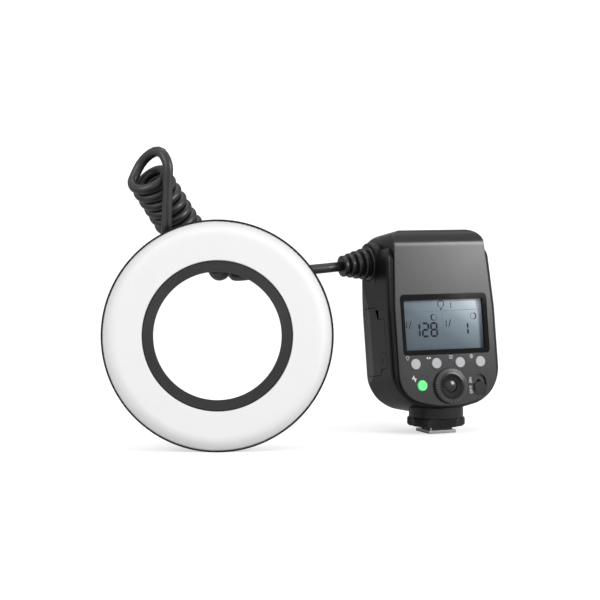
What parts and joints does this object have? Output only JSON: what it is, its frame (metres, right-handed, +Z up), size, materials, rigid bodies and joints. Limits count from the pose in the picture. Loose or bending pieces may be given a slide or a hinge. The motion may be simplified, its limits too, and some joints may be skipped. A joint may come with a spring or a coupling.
{
  "type": "macro ring flash",
  "caption": "Macro ring flash: a round lamp head for a lens, joined by a curly cord to a control unit with a display, a dial, keys, a battery and a foot for a camera's accessory shoe.",
  "frame": {"origin": "centre of the shoe foot's underside, which stands on the floor", "axes": "+Z up; +Y away from the camera that took the picture; +X to its right. The unit is turned 22 degrees about +Z and leans back 9 degrees; the ring's face looks towards -Y and leans back 4.77 degrees"},
  "size_m": [0.2408, 0.1368, 0.1764],
  "materials": {
    "shell": "satin black ABS with a fine grain",
    "panel": "satin dark grey ABS",
    "window": "clear polycarbonate with a black border",
    "lcd": "blue-grey liquid crystal display",
    "key": "light grey silicone key",
    "lamp_key": "translucent green key, lit from behind",
    "dial": "black, knurled",
    "rubber": "soft black rubber",
    "cord": "black polyurethane sheath, slightly glossy",
    "foot": "bright plated steel, stamped",
    "steel": "steel",
    "spring": "spring steel strip",
    "contact": "gold-plated contact",
    "board": "green fibreglass board",
    "inner": "black moulding",
    "capacitor": "aluminium can in a dark sleeve",
    "winding": "wound coil in yellow tape",
    "diffuser": "opal white acrylic, satin",
    "cone": "matt black inside of the ring",
    "reflector": "bright rolled aluminium",
    "tube": "quartz glass",
    "led": "white lamp with a yellow phosphor"
  },
  "bodies": {
    "unit": {"main_shell": "shell", "rear_cover": "shell", "front_cover": "panel", "lcd_window": "window", "lcd_module": "lcd", "keypad_board": "board", "dial_encoder": "inner", "switch_module": "inner", "main_board": "board", "transformer": "winding", "flash_capacitor": "capacitor", "bay_contacts": "contact", "socket_block": "inner", "cable_boot": "rubber", "case_screws": "steel", "pedestal": "shell", "foot_block": "inner", "shoe_contacts": "contact", "foot_plate": "foot", "foot_screws": "steel", "cord_lead": "cord"},
    "button_lamp": {"button_lamp": "key"},
    "button_arrows": {"button_arrows": "key"},
    "button_menu": {"button_menu": "key"},
    "button_ratio": {"button_ratio": "key"},
    "test_button": {"test_button": "lamp_key"},
    "dial": {"dial": "dial"},
    "set_button": {"set_button": "dial"},
    "power_switch": {"power_switch": "dial"},
    "battery": {"battery_case": "shell", "battery_terminals": "contact", "latch_spring": "spring"},
    "battery_latch": {"battery_latch": "shell"},
    "port_cover": {"port_cover": "rubber"},
    "lock_ring": {"lock_ring": "shell"},
    "lock_pin": {"lock_pin": "steel"},
    "ring_head": {"ring_shell": "shell", "ring_screws": "steel", "diffuser": "diffuser", "inner_cone": "cone", "reflector_right": "reflector", "reflector_left": "reflector", "flash_tube_right": "tube", "flash_tube_left": "tube", "tube_holders": "inner", "led_boards": "board", "led_chips": "led", "mount_collar": "shell", "release_springs_left": "spring", "release_springs_right": "spring", "ring_boot": "rubber", "cord_tail": "cord", "cord_coil": "cord"},
    "release_left": {"release_left": "inner"},
    "release_right": {"release_right": "inner"}
  },
  "joints": [
    {"name": "button_lamp_press", "type": "slide", "parent": "unit", "child": "button_lamp", "axis": [-0.37, 0.9158, -0.1564], "range_m": [0, 0.0006], "stiffness_N_per_m": 500, "springref_m": -0.0006},
    {"name": "button_arrows_press", "type": "slide", "parent": "unit", "child": "button_arrows", "axis": [-0.37, 0.9158, -0.1564], "range_m": [0, 0.0006], "stiffness_N_per_m": 500, "springref_m": -0.0006},
    {"name": "button_menu_press", "type": "slide", "parent": "unit", "child": "button_menu", "axis": [-0.37, 0.9158, -0.1564], "range_m": [0, 0.0006], "stiffness_N_per_m": 500, "springref_m": -0.0006},
    {"name": "button_ratio_press", "type": "slide", "parent": "unit", "child": "button_ratio", "axis": [-0.37, 0.9158, -0.1564], "range_m": [0, 0.0006], "stiffness_N_per_m": 500, "springref_m": -0.0006},
    {"name": "test_button_press", "type": "slide", "parent": "unit", "child": "test_button", "axis": [-0.37, 0.9158, -0.1564], "range_m": [0, 0.0006], "stiffness_N_per_m": 500, "springref_m": -0.0006},
    {"name": "set_button_press", "type": "slide", "parent": "unit", "child": "set_button", "axis": [-0.37, 0.9158, -0.1564], "range_m": [0, 0.0006], "stiffness_N_per_m": 500, "springref_m": -0.0006},
    {"name": "dial_turn", "type": "hinge", "parent": "unit", "child": "dial", "pos_m": [0.00702, -0.01603, 0.03021], "axis": [-0.37, 0.9158, -0.1564], "continuous": true},
    {"name": "power_switch_slide", "type": "slide", "parent": "unit", "child": "power_switch", "axis": [-0.0586, 0.145, 0.9877], "range_m": [0, 0.004]},
    {"name": "battery_slide", "type": "slide", "parent": "unit", "child": "battery", "axis": [-0.9272, -0.3746, 0], "range_m": [0, 0.062]},
    {"name": "battery_latch_press", "type": "slide", "parent": "battery", "child": "battery_latch", "axis": [0.9272, 0.3746, 0], "range_m": [0, 0.0008], "stiffness_N_per_m": 600, "springref_m": -0.0008, "deforming": ["latch_spring"]},
    {"name": "port_cover_hinge", "type": "hinge", "parent": "unit", "child": "port_cover", "pos_m": [0.02955, 0.02643, 0.05862], "axis": [-0.0586, 0.145, 0.9877], "range_deg": [0, 100]},
    {"name": "lock_ring_turn", "type": "hinge", "parent": "unit", "child": "lock_ring", "pos_m": [0, 0, 0.007], "axis": [0, 0, 1], "range_deg": [0, 60]},
    {"name": "lock_pin_drop", "type": "slide", "parent": "unit", "child": "lock_pin", "axis": [0, 0, -1], "range_m": [0, 0.0013]},
    {"name": "ring_pull", "type": "slide", "parent": "unit", "child": "ring_head", "axis": [-1, 0, 0], "range_m": [0, 0.1], "stiffness_N_per_m": 6, "deforming": ["cord_coil"]},
    {"name": "release_left_press", "type": "slide", "parent": "ring_head", "child": "release_left", "axis": [1, 0, 0], "range_m": [0, 0.0016], "stiffness_N_per_m": 900, "springref_m": -0.001, "deforming": ["release_springs_left"]},
    {"name": "release_right_press", "type": "slide", "parent": "ring_head", "child": "release_right", "axis": [-1, 0, 0], "range_m": [0, 0.0016], "stiffness_N_per_m": 900, "springref_m": -0.001, "deforming": ["release_springs_right"]}
  ],
  "couplings": [
    {"joint": "lock_ring_turn", "follows": "lock_pin_drop", "rad_per_m": 805}
  ]
}
